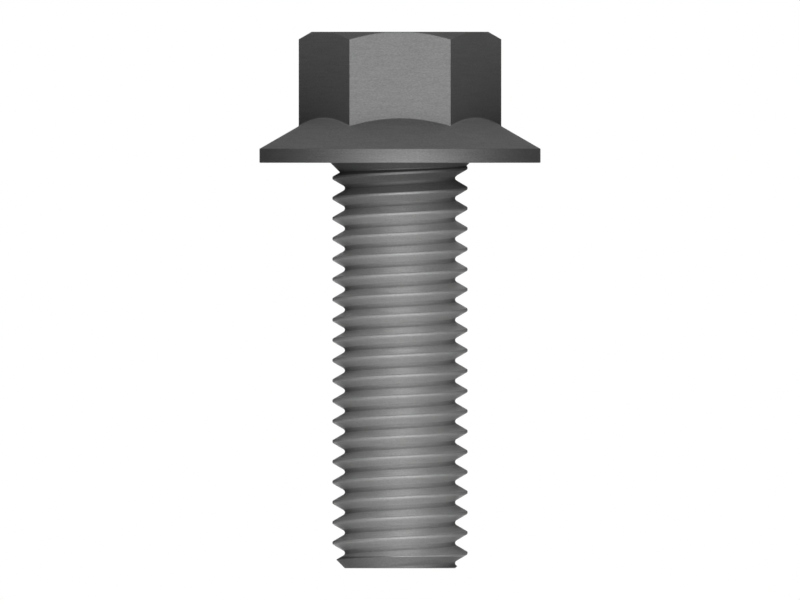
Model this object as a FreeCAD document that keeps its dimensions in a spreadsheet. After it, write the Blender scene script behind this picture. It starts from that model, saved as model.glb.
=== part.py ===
import FreeCAD, Part
import Sketcher
import math
import os

# Hexagon flange bolt, M10 by 30, small series, threaded up to the head
# One cold-forged and thread-rolled piece of steel, so it is one solid.
# It stands on its head. The origin is the centre of the bearing face, the face of the flange
# that presses on the joint. +Z runs from there along the shank to the tip, the head is below,
# and two of the head's six corners lie on the X axis. Lengths are in millimetres.
# The thread is a right-hand groove. The shank and the groove turn in the same even facets, and
# the shank's corners lie on the crests' circle, so that the thread takes few triangles.

NODE = "flange_bolt"

# Driving sizes: the name, the size and what it measures
SIZES = (
    ("across_flats", 13.0, "hexagon, from flat to flat"),
    ("head_height", 9.7, "bearing face to the top of the head"),
    ("corner_chamfer", 0.56, "height that the top chamfer takes off a corner"),
    ("chamfer_slope", 30.0, "top chamfer's angle to the top face, in degrees"),
    ("flange_diameter", 20.8, "flange, outside"),
    ("flange_edge", 1.04, "height of the flange's upright edge"),
    ("flange_slope", 30.0, "flange's angle to the bearing face, in degrees"),
    ("shank_length", 30.0, "bearing face to the tip"),
    ("thread_diameter", 10.0, "thread, over the crests"),
    ("thread_pitch", 1.5, "thread, from crest to crest along the shank"),
    ("flank_angle", 60.0, "angle between the thread's flanks, in degrees"),
    ("facet_angle", 10.0, "turn that a facet of the shank and thread spans, in degrees"),
    ("seat_cone", 0.15, "how far the cone under the flange stands out past the crests"),
)

# Sizes worked out from the driving ones, as expressions of the document
CORNER_REACH = "(sizes.across_flats / sqrt(3))"
CHAMFER_RISE = "tan(sizes.chamfer_slope * 1 deg)"
FLANGE_RADIUS = "(sizes.flange_diameter / 2)"
FLANGE_RISE = "tan(sizes.flange_slope * 1 deg)"
CREST_RADIUS = "(sizes.thread_diameter / 2)"
# A metric thread is 0.6134 of its pitch deep, and its crests are an eighth of the pitch wide
THREAD_DEPTH = "(sizes.thread_pitch * 0.6134)"
CREST_GAP = "(sizes.thread_pitch * 0.4375)"
FLANK_SLOPE = "tan(sizes.flank_angle * 0.5 deg)"
# Facets in a turn
FACETS = "round(360 / sizes.facet_angle)"
# Cutters run past what they cut by this much
CUTTER_MARGIN = "(sizes.thread_pitch / 10)"


def write_sizes(doc):
    """The spreadsheet of driving sizes: a name, a number with that name as its alias, and a note."""
    sheet = doc.addObject("Spreadsheet::Sheet", "sizes")
    for row, (name, size, note) in enumerate(SIZES, start=1):
        sheet.set(f"A{row}", name)
        sheet.set(f"B{row}", str(size))
        sheet.setAlias(f"B{row}", name)
        sheet.set(f"C{row}", note)
    doc.recompute()


def origin_plane(body, role):
    """The origin plane of the body that has this role."""
    return next(item for item in body.Origin.OriginFeatures if item.Role == role)


def size_now(item, expression):
    """The number that an expression gives with the present sizes."""
    return float(item.evalExpression(expression))


def fix_coordinate(sketch, side, direction, expression):
    """Hold one coordinate of a side's first end to an expression, or to the axis where it is zero.

    A sketch numbers a side's ends 1 and 2. Its origin is end 1 of -1, its axis across is -1 and
    its axis up is -2.
    """
    size = size_now(sketch, expression)
    if size == 0:
        axis = -2 if direction == "DistanceX" else -1
        sketch.addConstraint(Sketcher.Constraint("PointOnObject", side, 1, axis))
        return
    index = sketch.addConstraint(Sketcher.Constraint(direction, -1, 1, side, 1, size))
    sketch.setExpression(f"Constraints[{index}]", expression)


def outline(body, name, role, corners):
    """A closed sketch with straight sides. A corner is its place across and up, as expressions."""
    sketch = body.newObject("Sketcher::SketchObject", name)
    sketch.AttachmentSupport = (origin_plane(body, role), [""])
    sketch.MapMode = "FlatFace"
    points = []
    for across, up in corners:
        points.append(FreeCAD.Vector(size_now(sketch, across), size_now(sketch, up), 0))
    for start, end in zip(points, points[1:] + points[:1]):
        sketch.addGeometry(Part.LineSegment(start, end), False)
    for side, (across, up) in enumerate(corners):
        next_side = (side + 1) % len(corners)
        sketch.addConstraint(Sketcher.Constraint("Coincident", side, 2, next_side, 1))
        fix_coordinate(sketch, side, "DistanceX", across)
        fix_coordinate(sketch, side, "DistanceY", up)
    return sketch


def turned(body, kind, name, profile):
    """A full turn of a profile about the bolt's axis, added or cut as kind says."""
    feature = body.newObject(f"PartDesign::{kind}", name)
    feature.Profile = profile
    feature.ReferenceAxis = (profile, ["V_Axis"])
    feature.Angle = 360
    return feature


def add_shank(body):
    """The shank, as thick as the thread's crests. Its lower end is buried in the head."""
    shank = body.newObject("PartDesign::AdditivePrism", "shank")
    shank.setExpression("Polygon", FACETS)
    shank.setExpression("Circumradius", CREST_RADIUS)
    shank.setExpression("Height", "sizes.shank_length + sizes.thread_pitch")
    shank.setExpression(".AttachmentOffset.Base.z", "-sizes.thread_pitch")
    shank.AttachmentSupport = (origin_plane(body, "XY_Plane"), [""])
    shank.MapMode = "FlatFace"
    return shank


def cut_tip_chamfer(body):
    """The 45 degree chamfer at the tip, as deep as the thread."""
    outside = f"({CREST_RADIUS} + {CUTTER_MARGIN})"
    beyond = f"(sizes.shank_length + {CUTTER_MARGIN})"
    profile = outline(body, "tip_chamfer_profile", "XZ_Plane", (
        (outside, f"(sizes.shank_length - {THREAD_DEPTH} - {CUTTER_MARGIN})"),
        (outside, beyond),
        (f"({CREST_RADIUS} - {THREAD_DEPTH} - {CUTTER_MARGIN})", beyond),
    ))
    return turned(body, "Groove", "tip_chamfer", profile)


def groove_wound(doc):
    """The groove between the thread's crests, ruled from one corner of the shank to the next.

    It climbs a pitch a turn, right-hand, from inside the head to past the tip. The first crest
    faces -Y half a pitch above the bearing face.
    """
    groove = doc.addObject("Part::Feature", "thread_groove")
    pitch = size_now(groove, "sizes.thread_pitch")
    length = size_now(groove, "sizes.shank_length")
    crest = size_now(groove, CREST_RADIUS)
    depth = size_now(groove, THREAD_DEPTH)
    gap = size_now(groove, CREST_GAP)
    slope = size_now(groove, FLANK_SLOPE)
    margin = size_now(groove, CUTTER_MARGIN)
    facets = int(size_now(groove, FACETS))
    root_half = gap - depth * slope
    mouth_half = gap + margin * slope
    sections = []
    for step in range(math.ceil(facets * (length / pitch + 1.75))):
        middle = pitch * (step / facets - 0.75)
        turn = 2 * math.pi * step / facets
        across = FreeCAD.Vector(math.cos(turn), math.sin(turn), 0)
        corners = []
        for reach, up in (
            (crest + margin, middle - mouth_half),
            (crest - depth, middle - root_half),
            (crest - depth, middle + root_half),
            (crest + margin, middle + mouth_half),
        ):
            corners.append(across * reach + FreeCAD.Vector(0, 0, up))
        sections.append(Part.makePolygon(corners + corners[:1]))
    groove.Shape = Part.makeLoft(sections, True, True)
    return groove


def combined(body, kind, name, tool):
    """Cut another body from this one or fuse it to this one, as kind says."""
    feature = body.newObject("PartDesign::Boolean", name)
    feature.Type = kind
    feature.Refine = False
    feature.setObjects([tool])
    return feature


def cut_thread(body):
    """Cut the thread's groove into the shank."""
    cutter = body.Document.addObject("PartDesign::Body", "thread_cutter")
    cutter.BaseFeature = groove_wound(body.Document)
    return combined(body, "Cut", "thread", cutter)


def add_flange(body):
    """The flange, with an upright edge and a cone that climbs towards the top of the head.

    A small 45 degree cone on its bearing face ends the thread. Its own top is buried in the
    thread's core.
    """
    seat_radius = f"({CREST_RADIUS} + sizes.seat_cone)"
    seat_height = f"(sizes.seat_cone + {THREAD_DEPTH} + {CUTTER_MARGIN} / 3)"
    peak = f"(-sizes.flange_edge - {FLANGE_RADIUS} * {FLANGE_RISE})"
    profile = outline(body, "flange_profile", "XZ_Plane", (
        ("0", peak),
        (FLANGE_RADIUS, "(-sizes.flange_edge)"),
        (FLANGE_RADIUS, "0"),
        (seat_radius, "0"),
        (f"({seat_radius} - {seat_height})", seat_height),
        ("0", seat_height),
    ))
    return turned(body, "Revolution", "flange", profile)


def add_hexagon(body):
    """The hexagon, from the foot of the flange's cone up to the top of the head."""
    half_reach = f"({CORNER_REACH} / 2)"
    half_flats = "(sizes.across_flats / 2)"
    profile = outline(body, "hexagon_profile", "XY_Plane", (
        (CORNER_REACH, "0"),
        (half_reach, half_flats),
        (f"(-{half_reach})", half_flats),
        (f"(-{CORNER_REACH})", "0"),
        (f"(-{half_reach})", f"(-{half_flats})"),
        (half_reach, f"(-{half_flats})"),
    ))
    profile.setExpression(".AttachmentOffset.Base.z", "-sizes.flange_edge")
    hexagon = body.newObject("PartDesign::Pad", "hexagon")
    hexagon.Profile = profile
    hexagon.Reversed = True
    hexagon.setExpression("Length", "sizes.head_height - sizes.flange_edge")
    return hexagon


def cut_top_chamfer(body):
    """The cone that rounds off the hexagon's six corners at the top of the head."""
    chamfer_reach = f"(sizes.corner_chamfer / {CHAMFER_RISE})"
    inside = f"({CORNER_REACH} - {chamfer_reach} - {CUTTER_MARGIN})"
    outside = f"({CORNER_REACH} + {CUTTER_MARGIN})"
    below = f"(-sizes.head_height - {CUTTER_MARGIN} * {CHAMFER_RISE})"
    above = f"(-sizes.head_height + sizes.corner_chamfer + {CUTTER_MARGIN} * {CHAMFER_RISE})"
    profile = outline(body, "top_chamfer_profile", "XZ_Plane", (
        (inside, below),
        (outside, below),
        (outside, above),
    ))
    return turned(body, "Groove", "top_chamfer", profile)


def check_states(doc):
    """Stop if the document holds a failed object."""
    for item in doc.Objects:
        if "Invalid" in item.State or "Error" in item.State:
            raise RuntimeError(f"{item.Label} failed: {item.State}")


def build_up(body, steps):
    """Take the body through its steps. Each has to add or take away material, or it missed."""
    body.Placement = FreeCAD.Placement()
    volume = 0
    for step, adds in steps:
        feature = step(body)
        body.Document.recompute()
        check_states(body.Document)
        change = feature.Shape.Volume - volume
        if change == 0 or (change > 0) != adds:
            raise RuntimeError(f"{feature.Label} missed the bolt")
        volume = feature.Shape.Volume


def add_head(body):
    """Fuse the head, which is built up as a body of its own, to the threaded shank."""
    head = body.Document.addObject("PartDesign::Body", "head")
    build_up(head, ((add_flange, True), (add_hexagon, True), (cut_top_chamfer, False)))
    return combined(body, "Fuse", "head_joined", head)


def make_bolt(doc):
    """The whole bolt as one body."""
    bolt = doc.addObject("PartDesign::Body", NODE)
    bolt.Label = NODE
    steps = ((add_shank, True), (cut_tip_chamfer, False), (cut_thread, False), (add_head, True))
    build_up(bolt, steps)
    return bolt


def write_step(body):
    """Write the body to parts/, once it is one valid solid."""
    shape = body.Shape
    if shape.isNull() or not shape.isValid() or len(shape.Solids) != 1:
        raise RuntimeError(f"{body.Label} isn't one valid solid")
    os.makedirs("parts", exist_ok=True)
    shape.exportStep(f"parts/{body.Label}.step")
    print(body.Label, "volume", round(shape.Volume, 2), "mm3", len(shape.Faces), "faces")


doc = FreeCAD.newDocument("flange_bolt_model")
write_sizes(doc)
write_step(make_bolt(doc))
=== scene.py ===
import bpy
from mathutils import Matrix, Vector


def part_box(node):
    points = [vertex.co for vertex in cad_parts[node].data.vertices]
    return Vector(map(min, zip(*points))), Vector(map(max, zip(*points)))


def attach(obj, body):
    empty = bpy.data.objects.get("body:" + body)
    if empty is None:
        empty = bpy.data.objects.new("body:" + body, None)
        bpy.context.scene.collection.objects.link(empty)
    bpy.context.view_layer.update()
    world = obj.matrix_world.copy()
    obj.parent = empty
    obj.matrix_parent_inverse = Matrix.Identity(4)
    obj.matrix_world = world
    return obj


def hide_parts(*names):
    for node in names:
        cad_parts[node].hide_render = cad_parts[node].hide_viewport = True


bl_info = {
    "name": "Flange bolt",
    "version": (1, 0, 0),
    "blender": (4, 5, 0),
    "location": "View3D > Sidebar > Flange bolt",
    "description": "A black flange bolt with a rolled thread, standing on its head",
    "category": "Add Mesh",
}

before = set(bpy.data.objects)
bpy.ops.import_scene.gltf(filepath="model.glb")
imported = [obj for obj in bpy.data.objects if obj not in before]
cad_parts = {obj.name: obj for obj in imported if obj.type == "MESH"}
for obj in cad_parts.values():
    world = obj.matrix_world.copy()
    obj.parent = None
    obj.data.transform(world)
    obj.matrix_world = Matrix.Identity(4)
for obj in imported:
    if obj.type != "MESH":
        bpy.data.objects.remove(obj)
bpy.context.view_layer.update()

import math

import bmesh
import bpy
import numpy as np

BOLT_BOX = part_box("flange_bolt")
MM = 0.001
FULL_TURN = 2 * math.pi
FRONT = math.radians(-90)

# Shares of the thread's pitch in a metric thread
CREST_HALF = 1 / 16
SHOULDER = 0.027
ROOT_HALF = 1 / 8
ROOT_RADIUS = 0.1443
DEPTH = 0.6134

# Where the colour of one zone goes over into the next, whether coat or painted light and shade.
# Heights are measured from the bearing face, the flange's cone, the top of its edge and the foot
# of the tip's chamfer, distances from the axis from the thread's crests and root
SHANK_BAND = (0, 0.05 * MM)
FLANGE_BAND = (-0.12 * MM, -0.02 * MM)
RIM_BAND = (-0.05 * MM, 0)
TIP_BAND = (-0.1 * MM, 0)
BURNISH_BAND = (0, 0.1 * MM)
CREST_BAND = (-0.07 * MM, -0.02 * MM)
ROOT_BAND = (0, 0.16 * MM)

# The groove's share of bare metal under its coat
GROOVE_METAL = 0.8

# How many times longer round the bolt than high the grains and the streaks in the coat are, and
# how many grains long a streak is
GRAIN_STRETCH = 2.5
STREAK_STRETCH = 16
STREAK_LENGTH = 15

# The factors by which grains and streaks darken and lighten the coat, and the two values of the
# noise that they belong to
GRAIN_SHADES = (0.84, 1.16)
STREAK_SHADES = (0.96, 1.04)
NOISE_SPAN = (0.3, 0.7)

# Each softbox: its name, its place from the bolt's middle, its turn in degrees and its size
SOFTBOXES = (
    ("front", (-0.03, -0.3, 0), (90, 0, 0), (0.2, 0.5)),
    ("top", (0, 0, 0.34), (0, 0, 0), (0.3, 0.3)),
    ("back", (0, 0.3, 0.1), (-90, 0, 0), (0.1, 0.3)),
)

# The floor's radius as a disc, and that of the smaller disc that is drawn in its middle
FLOOR_RADIUS = 2.0
FLOOR_MIDDLE = 0.1

# The share of white that the camera sees in the floor. The rest is paper, which shows a shadow
FLOOR_WHITE = 0.5

# From the camera to the bolt's axis
CAMERA_DISTANCE = 0.25

# A black card's nearest and farthest depth, its start on the floor, its top and its gap above it
CARD_DEPTH = (-0.1, 0.3)
CARD_START = 0.022
CARD_TOP = 0.3
CARD_GAP = 0.0005

# The paper lies this far under the head, so that their faces don't fight
PAPER_GAP = 0.01 * MM


def linear(hex_colour):
    """A colour's linear red, green, blue and alpha from its sRGB hex digits."""
    shares = [int(hex_colour[at:at + 2], 16) / 255 for at in (1, 3, 5)]
    return (*(s / 12.92 if s <= 0.04045 else ((s + 0.055) / 1.055) ** 2.4 for s in shares), 1.0)


class BoltSizes(bpy.types.PropertyGroup):
    """The bolt's sizes. Its three outer ones come from the frame."""

    shank_length: bpy.props.FloatProperty(
        name="Shank length",
        description="From the bearing face, at height zero, to the tip",
        default=BOLT_BOX[1].z,
        unit="LENGTH",
        precision=5,
    )
    head_height: bpy.props.FloatProperty(
        name="Head height",
        description="From the bearing face down to the top of the head, with the flange",
        default=-BOLT_BOX[0].z,
        unit="LENGTH",
        precision=5,
    )
    flange_radius: bpy.props.FloatProperty(
        name="Flange radius",
        description="From the axis to the flange's upright edge",
        default=BOLT_BOX[1].x,
        unit="LENGTH",
        precision=5,
    )
    flange_edge: bpy.props.FloatProperty(
        name="Flange edge",
        description="Height of the flange's upright edge",
        default=1.04 * MM,
        unit="LENGTH",
        precision=5,
    )
    across_flats: bpy.props.FloatProperty(
        name="Across flats",
        description="Width of the hexagon from flat to flat",
        default=13.0 * MM,
        unit="LENGTH",
        precision=5,
    )
    corner_chamfer: bpy.props.FloatProperty(
        name="Corner chamfer",
        description="Height that the chamfer round the top takes off a corner of the hexagon",
        default=0.56 * MM,
        unit="LENGTH",
        precision=5,
    )
    slope: bpy.props.FloatProperty(
        name="Slope",
        description="Angle of the flange's cone and of the top chamfer to the bearing face",
        default=math.radians(30),
        subtype="ANGLE",
    )
    thread_diameter: bpy.props.FloatProperty(
        name="Thread diameter",
        description="Over the thread's crests",
        default=10.0 * MM,
        unit="LENGTH",
        precision=5,
    )
    thread_pitch: bpy.props.FloatProperty(
        name="Thread pitch",
        description="From crest to crest along the shank",
        default=1.5 * MM,
        unit="LENGTH",
        precision=5,
    )
    seat_cone: bpy.props.FloatProperty(
        name="Seat cone",
        description="How far the cone at the thread's foot stands out past the crests",
        default=0.15 * MM,
        unit="LENGTH",
        precision=5,
    )
    edge_radius: bpy.props.FloatProperty(
        name="Edge radius",
        description="Rounding of the forged edges and of the hexagon's corners",
        default=0.06 * MM,
        unit="LENGTH",
        precision=5,
    )


class BoltFinish(bpy.types.PropertyGroup):
    """The finish of the steel, with painted light and painted shade in some of its colours."""

    hexagon_colour: bpy.props.FloatVectorProperty(
        name="Hexagon colour",
        description="Black oxide on the hexagon, which the die's walls have pressed smooth",
        default=linear("#5b5b5b"),
        size=4,
        min=0,
        max=1,
        subtype="COLOR",
    )
    flange_colour: bpy.props.FloatVectorProperty(
        name="Flange colour",
        description="Black oxide as forged, on the flange's edge and bearing face",
        default=linear("#616161"),
        size=4,
        min=0,
        max=1,
        subtype="COLOR",
    )
    # Painted light: the flange's cone and the tip's chamfer are made lighter than the rest of the
    # head, as if more light fell on them
    painted_light_slope_colour: bpy.props.FloatVectorProperty(
        name="Cone colour",
        description="Thinner coat on the flange's cone and on the sheared tip",
        default=linear("#6c6c6c"),
        size=4,
        min=0,
        max=1,
        subtype="COLOR",
    )
    # Partly the burnished steel of the rolled thread, and partly painted light: the colour is
    # raised to lift the groove against its own shade
    thread_burnish_and_light_colour: bpy.props.FloatVectorProperty(
        name="Thread colour",
        description="Black oxide on the thread's flanks, which the rolling dies have burnished",
        default=linear("#9d9d9d"),
        size=4,
        min=0,
        max=1,
        subtype="COLOR",
    )
    crest_colour: bpy.props.FloatVectorProperty(
        name="Crest colour",
        description="The thread's crests, where handling has scuffed the coat thin",
        default=linear("#8e8e8e"),
        size=4,
        min=0,
        max=1,
        subtype="COLOR",
    )
    # Painted shade: the bottom of the thread's groove is darkened, as if shade fell deep in the
    # groove
    root_shade_colour: bpy.props.FloatVectorProperty(
        name="Root colour",
        description="The bottom of the thread's groove, where the coat is thickest",
        default=linear("#6a6a6a"),
        size=4,
        min=0,
        max=1,
        subtype="COLOR",
    )
    # Painted shadow: the shank just under the flange, where the flange's shadow falls, is given
    # this dark colour
    flange_shadow_colour: bpy.props.FloatVectorProperty(
        name="Collar colour",
        description="Thick coat on the shank just under the flange",
        default=linear("#464646"),
        size=4,
        min=0,
        max=1,
        subtype="COLOR",
    )
    # The painted shadow under the flange fades out over this length along the shank
    flange_shadow_length: bpy.props.FloatProperty(
        name="Collar",
        description="How far along the shank the coat goes from thick to burnished",
        default=4.0 * MM,
        unit="LENGTH",
        precision=5,
    )
    flange_roughness: bpy.props.FloatProperty(
        name="Flange roughness",
        description="How far the coat spreads a reflection where it lies on forged steel",
        default=0.7,
        min=0,
        max=1,
    )
    hexagon_roughness: bpy.props.FloatProperty(
        name="Hexagon roughness",
        description="How far the coat spreads a reflection on the hexagon",
        default=0.66,
        min=0,
        max=1,
    )
    thread_roughness: bpy.props.FloatProperty(
        name="Thread roughness",
        description="How far the coat spreads a reflection on the burnished thread",
        default=0.5,
        min=0,
        max=1,
    )
    dull_roughness: bpy.props.FloatProperty(
        name="Dull roughness",
        description="How far the coat spreads one on the thread's crests and in its root",
        default=0.78,
        min=0,
        max=1,
    )
    grain: bpy.props.FloatProperty(
        name="Grain",
        description="Size of the grains in the coat",
        default=0.14 * MM,
        unit="LENGTH",
        precision=5,
    )


class Studio(bpy.types.PropertyGroup):
    """The lights, the floor and the camera's framing."""

    front_light: bpy.props.FloatProperty(
        name="Front light",
        description="Brightness of the tall softbox by the camera, where white is 1",
        default=12.3,
        min=0,
    )
    top_light: bpy.props.FloatProperty(
        name="Top light",
        description="Brightness of the softbox overhead, where white is 1",
        default=1.2,
        min=0,
    )
    back_light: bpy.props.FloatProperty(
        name="Back light",
        description="Brightness of the tall softbox behind the bolt, where white is 1",
        default=3.5,
        min=0,
    )
    fill: bpy.props.FloatProperty(
        name="Fill",
        description="Brightness of the room round the stage, as it lights what isn't glossy",
        default=0.5,
        min=0,
    )
    card_distance: bpy.props.FloatProperty(
        name="Card distance",
        description="From the bolt's axis to the upright part of the black card on either side",
        default=0.09,
        unit="LENGTH",
    )
    floor_colour: bpy.props.FloatVectorProperty(
        name="Floor colour",
        description="Pale paper under the bolt",
        default=linear("#f0f0f0"),
        size=4,
        min=0,
        max=1,
        subtype="COLOR",
    )
    picture_width: bpy.props.FloatProperty(
        name="Picture width",
        description="What the picture shows from its left edge to its right",
        default=59.2 * MM,
        unit="LENGTH",
        precision=5,
    )


def column_angles(sizes):
    """Angles round the axis, closed on themselves.

    Even steps over each flat, and finer ones over the rounding of each corner of the hexagon and
    just beyond it, so that the flats stay flat and the corners crisp.
    """
    turn = corner_turn(sizes)
    over_corner = turn * np.array((-2, -1, -0.5, 0, 0.5, 1, 2))
    over_flat = np.radians(np.arange(2, 60, 2))
    sixth = np.concatenate((over_corner, over_flat))
    corners = np.arange(6)[:, None] * FULL_TURN / 6
    angles = (corners + sixth).ravel()
    return np.append(angles, angles[0] + FULL_TURN)


def corner_turn(sizes):
    """Half the angle, seen from the axis, that the rounding of a hexagon's corner takes up."""
    flat = sizes.across_flats / 2
    centre = (flat - sizes.edge_radius) / math.cos(math.pi / 6)
    return math.atan2(
        sizes.edge_radius / 2,
        centre + sizes.edge_radius * math.cos(math.pi / 6),
    )


def hexagon_reach(angles, sizes):
    """How far the hexagon reaches at each angle round the axis.

    Beside a flat it is half the width across flats over the cosine of the angle from the flat's
    middle. Within the rounding of a corner it is the far side of a circle that touches both flats:
    d cos a + sqrt(q^2 - (d sin a)^2), with the circle's radius q, its centre's distance d from the
    axis and the angle a from the corner.
    """
    from_corner = (angles + math.pi / 6) % (math.pi / 3) - math.pi / 6
    flat = sizes.across_flats / 2
    beside_flat = flat / np.cos(math.pi / 6 - np.abs(from_corner))
    radius = sizes.edge_radius
    centre = (flat - radius) / math.cos(math.pi / 6)
    sideways = centre * np.sin(from_corner)
    rounding = centre * np.cos(from_corner) + np.sqrt(np.maximum(radius**2 - sideways**2, 0))
    return np.where(np.abs(from_corner) < corner_turn(sizes), rounding, beside_flat)


def rounded(reach, height, radius, first, last, steps=4):
    """Rows of a rounded edge: points a radius away from a centre, whose direction turns evenly.

    Directions are in degrees, from 0 straight outwards to 90 straight up. A negative radius makes
    a hollow, whose points lie on the centre's other side.
    """
    rows = []
    for direction in np.radians(np.linspace(first, last, steps + 1)):
        rows.append((reach + radius * math.cos(direction), height + radius * math.sin(direction)))
    return rows


def head_rows(angles, sizes):
    """The head's rows, from the middle of its top, which is its lowest face, to the bearing face.

    At every angle the outline is the top face, the chamfer, the hexagon's side, the flange's cone,
    its upright edge and the bearing face. Each edge is a rounding about a point that lies one
    radius inside the two faces that meet there.
    """
    slope = sizes.slope
    tilt = math.degrees(slope) - 90
    edge = sizes.edge_radius
    top = -sizes.head_height
    side = hexagon_reach(angles, sizes)
    corner = sizes.across_flats / math.sqrt(3)
    chamfer_start = corner - sizes.corner_chamfer / math.tan(slope)
    inner_start = chamfer_start - edge * math.tan(slope / 2)
    top_edge = np.minimum(inner_start, side - edge)
    side_edge = top + edge + (side - edge - top_edge) * math.tan(slope)
    hollow = 2 * edge
    foot = side + hollow
    cone_at_foot = -sizes.flange_edge - (sizes.flange_radius - foot) * math.tan(slope)
    foot_height = cone_at_foot - hollow / math.cos(slope)
    rim = sizes.flange_radius - edge
    rim_height = -sizes.flange_edge + edge * (1 / math.cos(slope) - math.tan(slope))
    top_face = [(side * 0, top), (side * 0.5, top), (top_edge - edge, top)]
    flat_start = [(side, side_edge + edge), (side, foot_height - edge)]
    cone_start = foot + (foot - side) * 0.5
    cone_height = -sizes.flange_edge - (sizes.flange_radius - cone_start) * math.tan(slope)
    cone_end = rim - edge
    cone_end_height = -sizes.flange_edge - (sizes.flange_radius - cone_end) * math.tan(slope)
    return (
        top_face
        + rounded(top_edge, top + edge, edge, -90, tilt, 3)
        + rounded(side - edge, side_edge, edge, tilt, 0, 3)
        + flat_start
        + rounded(foot, foot_height, -hollow, 0, tilt)
        + [(cone_start, cone_height), (cone_end + side * 0, cone_end_height)]
        + rounded(rim + side * 0, rim_height, edge, tilt, 0)
        + [(sizes.flange_radius + side * 0, -sizes.flange_edge / 2)]
        + rounded(rim + side * 0, -edge, edge, 0, 90)
        + [(rim - edge + side * 0, 0 * side)]
    )


def thread_knots():
    """Places along one pitch where the thread's outline bends, as shares of the pitch.

    They start at the middle of a crest. A crest is an eighth of the pitch wide with short rounded
    shoulders, and a root is an arc that takes up a quarter of the pitch.
    """
    crest = CREST_HALF + SHOULDER * np.array((-1, 0, 1))
    root = 0.5 - ROOT_HALF * np.array((1, 2 / 3, 1 / 3))
    half = np.concatenate((crest, root))
    return np.concatenate((half, (0.5,), 1 - half[::-1]))


def thread_reach(height, angles, sizes):
    """How far the thread reaches from the axis at a height and an angle.

    With the distance s along the shank to the nearest crest's middle, the flank lies
    sqrt(3) (s - pitch / 16) deep, so that the groove's sides stand at 60 degrees. A short parabola
    joins the crest to the flank, and a circle that touches both flanks makes the root. The first
    crest faces the front half a pitch above the bearing face.
    """
    pitch = sizes.thread_pitch
    turns = height / pitch - 0.5 - (angles - FRONT) / FULL_TURN
    along = np.abs(turns - np.round(turns)) * pitch
    past_crest = along - pitch * CREST_HALF
    shoulder = pitch * SHOULDER
    flank = math.sqrt(3) * past_crest
    joined = math.sqrt(3) * (past_crest + shoulder) ** 2 / (4 * shoulder)
    depth = np.where(past_crest > shoulder, flank, np.where(past_crest < -shoulder, 0, joined))
    root_radius = pitch * ROOT_RADIUS
    apex = math.sqrt(3) * pitch * (0.5 - CREST_HALF)
    from_root = pitch / 2 - along
    bowl = np.sqrt(np.maximum(root_radius**2 - from_root**2, 0))
    depth = np.where(from_root < pitch * ROOT_HALF, apex - 2 * root_radius + bowl, depth)
    return sizes.thread_diameter / 2 - depth


def tip_cone_foot(sizes):
    """The height at which the tip's 45 degree cone starts. It is as deep as the thread."""
    return sizes.shank_length - sizes.thread_pitch * DEPTH


def shank_reach(height, angles, sizes):
    """How far the shank reaches: the thread, kept between two 45 degree cones.

    The cone at the flange fills the thread's foot, and the cone at the tip cuts its end off.
    """
    crest = sizes.thread_diameter / 2
    seat = crest + sizes.seat_cone - height
    tip = crest + tip_cone_foot(sizes) - height
    return np.minimum(np.maximum(thread_reach(height, angles, sizes), seat), tip)


def thread_rows(low, high, knots, angles, sizes):
    """The shank's rows from one height to another.

    They climb along the thread, one pitch in a turn, and so they meet again at the seam. Where a
    row would start below the lower height or run past the higher one, it lies along that height.
    """
    pitch = sizes.thread_pitch
    turns = np.arange(math.floor(low / pitch) - 2, math.ceil(high / pitch) + 1)
    shares = (turns[:, None] + knots).ravel()
    climbs = pitch * (shares[:, None] + 0.5 + (angles - FRONT) / FULL_TURN)
    heights = np.clip(climbs, low, high)
    return list(zip(shank_reach(heights, angles, sizes), heights))


def shank_rows(angles, sizes):
    """The shank's rows, from the bearing face to the middle of the tip.

    The rows are closer together at both ends, where the cones cut across the thread.
    """
    edge = sizes.edge_radius
    crest = sizes.thread_diameter / 2
    level = 0 * angles
    low = edge * (1 - math.sqrt(0.5))
    seat_top = sizes.seat_cone + sizes.thread_pitch * DEPTH
    tip_foot = tip_cone_foot(sizes)
    high = sizes.shank_length - low
    seat_edge = crest + sizes.seat_cone + edge * (math.sqrt(2) - 1)
    tip_edge = crest + tip_foot - sizes.shank_length - edge * (math.sqrt(2) - 1)
    knots = thread_knots()
    close_knots = np.union1d(knots, np.arange(0, 1, 1 / 40))
    return (
        rounded(seat_edge + level, edge + level, -edge, 90, 45, 2)
        + thread_rows(low, seat_top, close_knots, angles, sizes)
        + thread_rows(seat_top, tip_foot, knots, angles, sizes)
        + thread_rows(tip_foot, high, close_knots, angles, sizes)
        + rounded(tip_edge + level, sizes.shank_length - edge, edge, 45, 90, 2)
        + [(tip_edge - edge + level, sizes.shank_length), (level, sizes.shank_length)]
    )


def lathe_mesh(name, angles, rows):
    """A closed mesh from rows of (distance from the axis, height), one value for each angle.

    A point is (distance cos a, distance sin a, height). Rows and angles make a grid of four-sided
    faces. Its seam, its two poles and the rows that lie on each other are then welded.
    """
    reach = np.array([row[0] + 0 * angles for row in rows])
    height = np.array([row[1] + 0 * angles for row in rows])
    points = np.stack((reach * np.cos(angles), reach * np.sin(angles), height), axis=-1)
    numbers = np.arange(reach.size).reshape(reach.shape)
    faces = np.stack(
        (numbers[:-1, :-1], numbers[:-1, 1:], numbers[1:, 1:], numbers[1:, :-1]),
        axis=-1,
    )
    mesh = bpy.data.meshes.new(name)
    mesh.from_pydata(points.reshape(-1, 3), [], faces.reshape(-1, 4))
    welded = bmesh.new()
    welded.from_mesh(mesh)
    bmesh.ops.remove_doubles(welded, verts=welded.verts, dist=0.0001 * MM)
    bmesh.ops.recalc_face_normals(welded, faces=welded.faces)
    welded.to_mesh(mesh)
    welded.free()
    mesh.shade_smooth()
    return mesh


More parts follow.
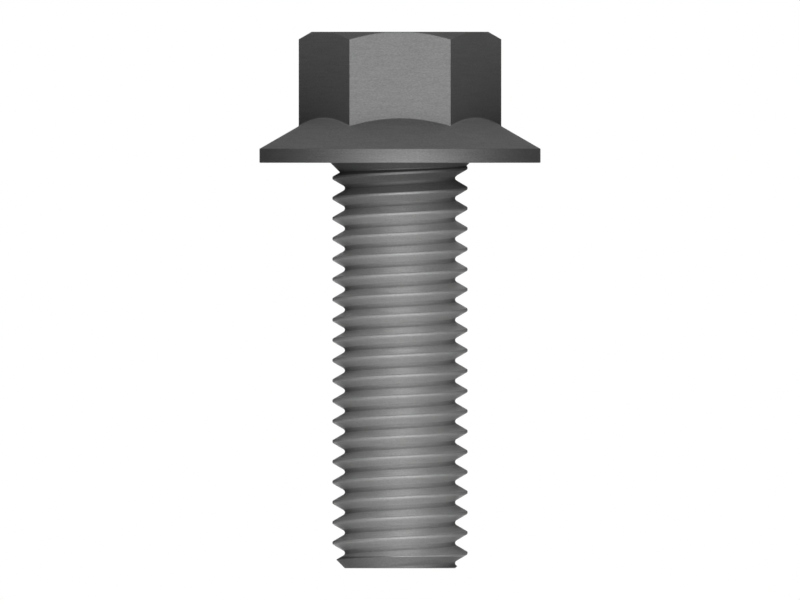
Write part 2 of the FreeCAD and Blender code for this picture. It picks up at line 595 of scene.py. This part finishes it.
def add_node(tree, kind, settings=None, inputs=None):
    """Add a node, with its own settings, and with a value or a link for each input."""
    node = tree.nodes.new(kind)
    for name, value in (settings or {}).items():
        setattr(node, name, value)
    for name, value in (inputs or {}).items():
        if isinstance(value, bpy.types.NodeSocket):
            tree.links.new(value, node.inputs[name])
        else:
            node.inputs[name].default_value = value
    return node


def calculated(tree, operation, *values):
    """The result of a calculation on two or three values."""
    node = add_node(tree, "ShaderNodeMath", {"operation": operation}, dict(enumerate(values)))
    return node.outputs[0]


def multiplied(tree, vector, factors):
    """A vector with each of its three parts multiplied by its own factor."""
    return add_node(
        tree, "ShaderNodeVectorMath", {"operation": "MULTIPLY"}, {0: vector, 1: factors}
    ).outputs[0]


def ramp(tree, value, first, last, low=0.0, high=1.0, shape="SMOOTHSTEP"):
    """A value that goes from low to high while another goes from first to last."""
    return add_node(tree, "ShaderNodeMapRange", {"interpolation_type": shape}, {
        "Value": value, "From Min": first, "From Max": last, "To Min": low, "To Max": high,
    }).outputs["Result"]


def past(tree, value, start, band, low=0.0, high=1.0):
    """A mask that goes from low to high over a band, as a value goes past its start."""
    return ramp(tree, value, start + band[0], start + band[1], low, high)


def blend(tree, share, first, second):
    """A colour that goes from the first to the second as the share goes from 0 to 1."""
    return add_node(tree, "ShaderNodeMix", {"data_type": "RGBA"}, {
        0: share, 6: first, 7: second,
    }).outputs[2]


def height_over_cone(tree, height, reach, sizes):
    """The height over the flange's cone, which is negative on the hexagon and nowhere else."""
    rise = math.tan(sizes.slope)
    peak = -sizes.flange_edge - sizes.flange_radius * rise
    cone = calculated(tree, "MULTIPLY_ADD", reach, rise, peak)
    return calculated(tree, "SUBTRACT", height, cone)


def grain_and_streaks(tree, place, finish):
    """How much lighter or darker the coat is from place to place, as a factor near 1.

    The grains are a little coarser than real ones, which would be too fine to show, and longer
    round the bolt than they are high. The streaks run the same way, an eighth of a millimetre high
    and some two millimetres long.
    """
    grain = add_node(tree, "ShaderNodeTexNoise", {}, {
        "Vector": multiplied(tree, place, (1, 1, GRAIN_STRETCH)),
        "Scale": 1 / finish.grain, "Detail": 3.0, "Roughness": 0.6,
    }).outputs["Fac"]
    streaks = add_node(tree, "ShaderNodeTexNoise", {}, {
        "Vector": multiplied(tree, place, (1, 1, STREAK_STRETCH)),
        "Scale": 1 / (STREAK_LENGTH * finish.grain), "Detail": 1.0,
    }).outputs["Fac"]
    return calculated(
        tree,
        "MULTIPLY",
        ramp(tree, grain, *NOISE_SPAN, *GRAIN_SHADES, "LINEAR"),
        ramp(tree, streaks, *NOISE_SPAN, *STREAK_SHADES, "LINEAR"),
    )


def black_oxide_steel(finish, sizes):
    """Black oxide on cold-forged steel, a thin magnetite coat grown in a hot bath and left dry.

    It gives the eye a neutral dark grey with a broad soft sheen, and a fine grain and faint
    streaks, both drawn out round the bolt. The hexagon is a little darker and smoother than the
    flange. The rolled thread is smoother still and lighter, partly as burnished steel and partly
    as painted light that lifts its groove against the groove's own shade, and the bottom of the
    groove is darkened with painted shade. The flange's cone and the tip's chamfer are lightened
    with painted light, and the shank just under the flange is darkened with a painted shadow,
    which fades out along the shank.
    """
    material = bpy.data.materials.new("black_oxide_steel")
    material.use_nodes = True
    tree = material.node_tree
    shader = tree.nodes["Principled BSDF"]
    place = add_node(tree, "ShaderNodeTexCoord").outputs["Object"]
    height = add_node(tree, "ShaderNodeSeparateXYZ", inputs={0: place}).outputs["Z"]
    reach = add_node(tree, "ShaderNodeVectorMath", {"operation": "LENGTH"}, {
        0: multiplied(tree, place, (1, 1, 0)),
    }).outputs["Value"]

    crest = sizes.thread_diameter / 2
    root = crest - sizes.thread_pitch * DEPTH
    cone_foot = tip_cone_foot(sizes)
    on_shank = past(tree, height, 0, SHANK_BAND)
    on_flange = past(tree, height_over_cone(tree, height, reach, sizes), 0, FLANGE_BAND)
    on_rim = past(tree, height, -sizes.flange_edge, RIM_BAND)
    on_tip = past(tree, height, cone_foot, TIP_BAND)
    # Painted shadow under the flange: from the bearing face the thread's colour fades in over the
    # shadow's length, so the burnished thread's mask holds that fade too
    past_flange_shadow = ramp(tree, height, 0.0, finish.flange_shadow_length, shape="LINEAR")
    burnished = calculated(
        tree, "MULTIPLY", past_flange_shadow, past(tree, height, cone_foot, BURNISH_BAND, 1.0, 0.0)
    )
    on_crest = calculated(tree, "MULTIPLY", burnished, past(tree, reach, crest, CREST_BAND))
    in_root = past(tree, reach, root, ROOT_BAND, 1.0, 0.0)
    in_groove = calculated(tree, "SUBTRACT", burnished, on_crest)

    # The thread: painted light in the groove, with the crests at their own tone
    thread = blend(tree, on_crest, tuple(finish.thread_burnish_and_light_colour), tuple(finish.crest_colour))
    # Painted shade in the root of the groove
    thread = blend(tree, in_root, thread, tuple(finish.root_shade_colour))
    # Painted light on the flange's cone, then the forged colour of its edge
    flange = blend(tree, on_rim, tuple(finish.painted_light_slope_colour), tuple(finish.flange_colour))
    head = blend(tree, on_flange, tuple(finish.hexagon_colour), flange)
    # The colour off the thread: the head's, with a painted shadow on the shank under the flange
    # and then painted light on the tip's chamfer
    unburnished_with_painted_light = blend(tree, on_shank, head, tuple(finish.flange_shadow_colour))
    # Painted light on the tip's chamfer
    unburnished_with_painted_light = blend(tree, on_tip, unburnished_with_painted_light, tuple(finish.painted_light_slope_colour))
    colour = add_node(tree, "ShaderNodeVectorMath", {"operation": "SCALE"}, {
        0: blend(tree, burnished, unburnished_with_painted_light, thread), "Scale": grain_and_streaks(tree, place, finish),
    }).outputs[0]
    tree.links.new(colour, shader.inputs["Base Color"])

    rough = finish.hexagon_roughness
    for mask, value in (
        (on_flange, finish.flange_roughness),
        (burnished, finish.thread_roughness),
        (on_crest, finish.dull_roughness),
        (in_root, finish.dull_roughness),
    ):
        rough = ramp(tree, mask, 0.0, 1.0, rough, value, "LINEAR")
    tree.links.new(rough, shader.inputs["Roughness"])

    metal = ramp(tree, in_groove, 0.0, 1.0, 1.0, GROOVE_METAL, "LINEAR")
    tree.links.new(metal, shader.inputs["Metallic"])
    shader.inputs["Specular Tint"].default_value = (0.4, 0.4, 0.4, 1.0)
    return material


class AddFlangeBolt(bpy.types.Operator):
    """Add the bolt: head, flange and threaded shank, forged and rolled from one piece of wire"""

    bl_idname = "flange_bolt.add_bolt"
    bl_label = "Add flange bolt"

    def execute(self, context):
        sizes = context.scene.bolt_sizes
        angles = column_angles(sizes)
        rows = head_rows(angles, sizes) + shank_rows(angles, sizes)
        mesh = lathe_mesh("flange_bolt_threaded", angles, rows)
        mesh.materials.append(black_oxide_steel(context.scene.bolt_finish, sizes))
        bolt = bpy.data.objects.new("flange_bolt_threaded", mesh)
        context.scene.collection.objects.link(bolt)
        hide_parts("flange_bolt")
        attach(bolt, "root")
        return {"FINISHED"}


class AddStage(bpy.types.Operator):
    """Add the floor, the softboxes, the white room round them and the camera"""

    bl_idname = "flange_bolt.add_stage"
    bl_label = "Add stage"

    def execute(self, context):
        studio = context.scene.studio
        sizes = context.scene.bolt_sizes
        add_floor(studio, sizes)
        add_room(studio)
        middle = (sizes.shank_length - sizes.head_height) / 2
        for name, (across, depth, up), turn, size in SOFTBOXES:
            brightness = getattr(studio, f"{name}_light")
            add_softbox(name, brightness, (across, depth, middle + up), turn, size)
        add_card("left_card", -1, studio, sizes)
        add_card("right_card", 1, studio, sizes)
        add_camera(studio, middle)
        return {"FINISHED"}


def seen_as_white(tree, to_camera=1.0):
    """1 for what a reflection or a refraction sees, and 0 for what only lights.

    The camera's own share lies between the two on a floor that has to show a shadow.
    """
    path = add_node(tree, "ShaderNodeLightPath").outputs
    seen = calculated(tree, "MULTIPLY", path["Is Camera Ray"], to_camera)
    for ray in ("Is Glossy Ray", "Is Transmission Ray"):
        seen = calculated(tree, "MAXIMUM", seen, path[ray])
    return seen


def add_floor(studio, sizes):
    """Pale matt paper, a round sheet a hair below the top of the head, which stands on it."""
    angles = np.linspace(0, FULL_TURN, 65)
    level = -sizes.head_height - PAPER_GAP
    mesh = lathe_mesh("floor", angles, [
        (0 * angles, level),
        (FLOOR_MIDDLE + 0 * angles, level),
        (FLOOR_RADIUS + 0 * angles, level),
    ])
    floor = bpy.data.objects.new("floor", mesh)
    bpy.context.scene.collection.objects.link(floor)
    material = bpy.data.materials.new("matt_paper")
    material.use_nodes = True
    tree = material.node_tree
    tree.nodes.clear()
    matt = add_node(tree, "ShaderNodeBsdfDiffuse", {}, {"Color": tuple(studio.floor_colour)})
    white = add_node(tree, "ShaderNodeEmission", {}, {"Strength": 1.0})
    mixed = add_node(tree, "ShaderNodeMixShader", {}, {
        0: seen_as_white(tree, FLOOR_WHITE), 1: matt.outputs[0], 2: white.outputs[0],
    })
    add_node(tree, "ShaderNodeOutputMaterial", {}, {"Surface": mixed.outputs[0]})
    mesh.materials.append(material)


def add_room(studio):
    """The room: white where it is seen, and a plain dim grey where it only lights."""
    world = bpy.data.worlds.new("white_room")
    world.use_nodes = True
    tree = world.node_tree
    tree.nodes.clear()
    dim = add_node(tree, "ShaderNodeBackground", {}, {"Strength": studio.fill})
    white = add_node(tree, "ShaderNodeBackground", {}, {"Color": (1, 1, 1, 1), "Strength": 1.0})
    mixed = add_node(tree, "ShaderNodeMixShader", {}, {
        0: seen_as_white(tree), 1: dim.outputs[0], 2: white.outputs[0],
    })
    add_node(tree, "ShaderNodeOutputWorld", {}, {"Surface": mixed.outputs[0]})
    bpy.context.scene.world = world


def add_softbox(name, brightness, place, turn, size):
    """A softbox, an even rectangle of light. Its power is brightness times pi times its area."""
    lamp = bpy.data.lights.new(f"{name}_softbox", "AREA")
    lamp.shape = "RECTANGLE"
    lamp.size, lamp.size_y = size
    lamp.energy = brightness * math.pi * size[0] * size[1]
    softbox = bpy.data.objects.new(f"{name}_softbox", lamp)
    softbox.location = place
    softbox.rotation_euler = [math.radians(angle) for angle in turn]
    bpy.context.scene.collection.objects.link(softbox)


def add_card(name, side, studio, sizes):
    """A folded matt black card beside the bolt, which only reflections see.

    It lies on the floor and then stands up, and darkens the sides of the bolt. Side is 1 or -1.
    """
    near, far = CARD_DEPTH
    level = -sizes.head_height + CARD_GAP
    fold = side * studio.card_distance
    line = ((side * CARD_START, level), (fold, level), (fold, CARD_TOP))
    corners = [(across, depth, up) for across, up in line for depth in (near, far)]
    mesh = bpy.data.meshes.new(name)
    mesh.from_pydata(corners, [], [(0, 2, 3, 1), (2, 4, 5, 3)])
    card = bpy.data.objects.new(name, mesh)
    bpy.context.scene.collection.objects.link(card)
    material = bpy.data.materials.new("matt_black_card")
    material.use_nodes = True
    shader = material.node_tree.nodes["Principled BSDF"]
    shader.inputs["Base Color"].default_value = linear("#202020")
    shader.inputs["Roughness"].default_value = 0.9
    mesh.materials.append(material)
    card.visible_camera = False
    card.visible_diffuse = False
    card.visible_shadow = False


def add_camera(studio, middle):
    """A camera without perspective, level with the bolt's middle, and turned head over heels.

    The bolt stands on its head, and the picture shows the head at the top, so the camera hangs
    upside down.
    """
    data = bpy.data.cameras.new("camera")
    data.type = "ORTHO"
    data.ortho_scale = studio.picture_width
    camera = bpy.data.objects.new("camera", data)
    camera.location = (0, -CAMERA_DISTANCE, middle)
    camera.rotation_euler = (math.radians(90), math.radians(180), 0)
    bpy.context.scene.collection.objects.link(camera)
    bpy.context.scene.camera = camera


class FlangeBoltPanel(bpy.types.Panel):
    """The bolt's sizes and finish, the stage, and the buttons that make them"""

    bl_idname = "VIEW3D_PT_flange_bolt"
    bl_label = "Flange bolt"
    bl_space_type = "VIEW_3D"
    bl_region_type = "UI"
    bl_category = "Flange bolt"

    def draw(self, context):
        for group, operator in (
            ("bolt_sizes", None),
            ("bolt_finish", AddFlangeBolt),
            ("studio", AddStage),
        ):
            settings = getattr(context.scene, group)
            box = self.layout.box()
            for name in settings.__annotations__:
                box.prop(settings, name)
            if operator:
                box.operator(operator.bl_idname)


CLASSES = (BoltSizes, BoltFinish, Studio, AddFlangeBolt, AddStage, FlangeBoltPanel)


def register():
    for item in CLASSES:
        bpy.utils.register_class(item)
    bpy.types.Scene.bolt_sizes = bpy.props.PointerProperty(type=BoltSizes)
    bpy.types.Scene.bolt_finish = bpy.props.PointerProperty(type=BoltFinish)
    bpy.types.Scene.studio = bpy.props.PointerProperty(type=Studio)


def unregister():
    del bpy.types.Scene.studio
    del bpy.types.Scene.bolt_finish
    del bpy.types.Scene.bolt_sizes
    for item in reversed(CLASSES):
        bpy.utils.unregister_class(item)


def main():
    register()
    bpy.ops.flange_bolt.add_bolt()
    bpy.ops.flange_bolt.add_stage()
    bpy.context.scene.view_settings.view_transform = "Standard"


if __name__ == "__main__":
    main()
